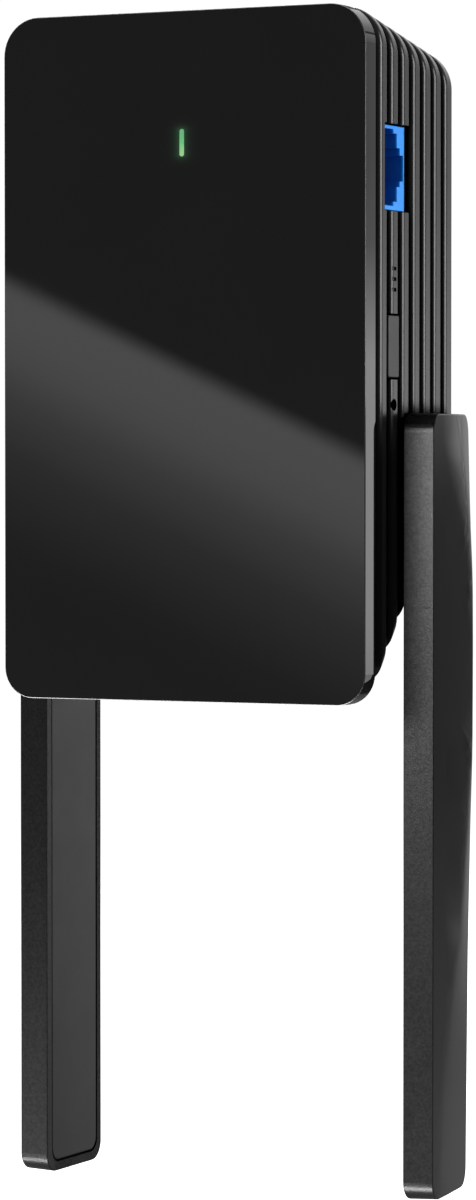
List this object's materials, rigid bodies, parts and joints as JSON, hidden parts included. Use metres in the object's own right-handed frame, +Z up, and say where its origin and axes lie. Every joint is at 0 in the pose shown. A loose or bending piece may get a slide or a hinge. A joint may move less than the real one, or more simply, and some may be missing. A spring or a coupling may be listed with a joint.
{
  "type": "wifi range extender",
  "caption": "Plug-in wifi range extender with a glossy front, ribbed sides, a side network port and fold-up antennas.",
  "frame": {"origin": "middle of the mains plug on the face that touches the wall", "axes": "+Y into the wall, +X to the right as seen from the front, +Z up"},
  "size_m": [0.0714, 0.0515, 0.1814],
  "materials": {
    "front_gloss": "piano-black gloss moulding",
    "housing_satin": "black satin moulding",
    "antenna_satin": "black fine-textured moulding",
    "button_plastic": "black satin moulding",
    "light_pipe": "milky clear light guide",
    "led": "green emitter",
    "circuit_board": "green solder mask",
    "power_circuit_board": "tan paper laminate",
    "port_blue": "bright blue moulding",
    "contact_brass": "plated brass",
    "blade_metal": "nickel-plated brass",
    "plug_plastic": "black flame-retardant moulding",
    "screw_steel": "zinc-plated steel",
    "chip_black": "moulded package",
    "tin_plate": "tin-plated steel",
    "aluminium_plate": "plain aluminium",
    "thermal_rubber": "soft filled pad",
    "ferrite": "sintered ferrite",
    "winding_tape": "yellow tape over copper wire",
    "capacitor_sleeve": "shrink sleeve over an aluminium can",
    "capacitor_box": "yellow box moulding",
    "insulating_film": "milky film",
    "header_white": "natural nylon",
    "lead_rubber": "insulated lead",
    "switch_plastic": "black moulding",
    "plunger_plastic": "coloured plunger"
  },
  "bodies": {
    "housing": {"back_cover": "housing_satin", "blade_contacts": "contact_brass", "bridge_rectifier": "chip_black", "bulk_capacitors": "capacitor_sleeve", "core_inductor": "ferrite", "crystal": "tin_plate", "ethernet_contacts": "contact_brass", "ethernet_jack": "port_blue", "front_cover": "front_gloss", "fuse": "capacitor_box", "heat_spreader": "aluminium_plate", "housing_screws": "screw_steel", "insulating_sheet": "insulating_film", "lan_transformer": "chip_black", "left_coax_lead": "lead_rubber", "left_coax_socket": "contact_brass", "light_pipe": "light_pipe", "line_capacitor": "capacitor_box", "line_choke": "ferrite", "main_board": "circuit_board", "main_board_screws": "screw_steel", "memory_chip": "chip_black", "output_capacitor": "capacitor_sleeve", "plug_base": "plug_plastic", "plug_blades": "blade_metal", "power_board": "power_circuit_board", "power_board_screws": "screw_steel", "power_controller": "chip_black", "power_header": "header_white", "power_leads": "lead_rubber", "processor_chip": "chip_black", "reset_switch_body": "switch_plastic", "rib_housing": "housing_satin", "right_coax_lead": "lead_rubber", "right_coax_socket": "contact_brass", "shield_frame": "tin_plate", "shield_lid": "tin_plate", "status_led": "led", "thermal_pad": "thermal_rubber", "transformer_bobbin": "plug_plastic", "transformer_core": "ferrite", "transformer_winding": "winding_tape", "wireless_chips": "chip_black", "wps_switch_body": "switch_plastic"},
    "wps_button": {"wps_button": "button_plastic"},
    "wps_plunger": {"wps_switch_plunger": "plunger_plastic"},
    "reset_plunger": {"reset_switch_plunger": "plunger_plastic"},
    "left_antenna": {"left_antenna_shell": "antenna_satin", "left_antenna_cover": "antenna_satin", "left_hinge_barrel": "switch_plastic", "left_hinge_clip": "screw_steel", "left_hinge_washer": "screw_steel", "left_antenna_radiator": "circuit_board"},
    "right_antenna": {"right_antenna_shell": "antenna_satin", "right_antenna_cover": "antenna_satin", "right_hinge_barrel": "switch_plastic", "right_hinge_clip": "screw_steel", "right_hinge_washer": "screw_steel", "right_antenna_radiator": "circuit_board"}
  },
  "joints": [
    {"name": "left_antenna_fold", "type": "hinge", "parent": "housing", "child": "left_antenna", "pos_m": [-0.0308, -0.01192, -0.0319], "axis": [-1, 0, 0], "range_deg": [0, 180]},
    {"name": "right_antenna_fold", "type": "hinge", "parent": "housing", "child": "right_antenna", "pos_m": [0.0308, -0.01192, -0.0319], "axis": [-1, 0, 0], "range_deg": [0, 180]},
    {"name": "wps_press", "type": "slide", "parent": "housing", "child": "wps_button", "axis": [-1, 0, 0], "range_m": [0, 0.0005], "stiffness_N_per_m": 400},
    {"name": "wps_switch_travel", "type": "slide", "parent": "housing", "child": "wps_plunger", "axis": [-1, 0, 0], "range_m": [0, 0.0005], "stiffness_N_per_m": 400},
    {"name": "reset_switch_travel", "type": "slide", "parent": "housing", "child": "reset_plunger", "axis": [-1, 0, 0], "range_m": [0, 0.0003], "stiffness_N_per_m": 400}
  ],
  "couplings": [
    {"joint": "wps_switch_travel", "follows": "wps_press", "ratio": 1}
  ]
}
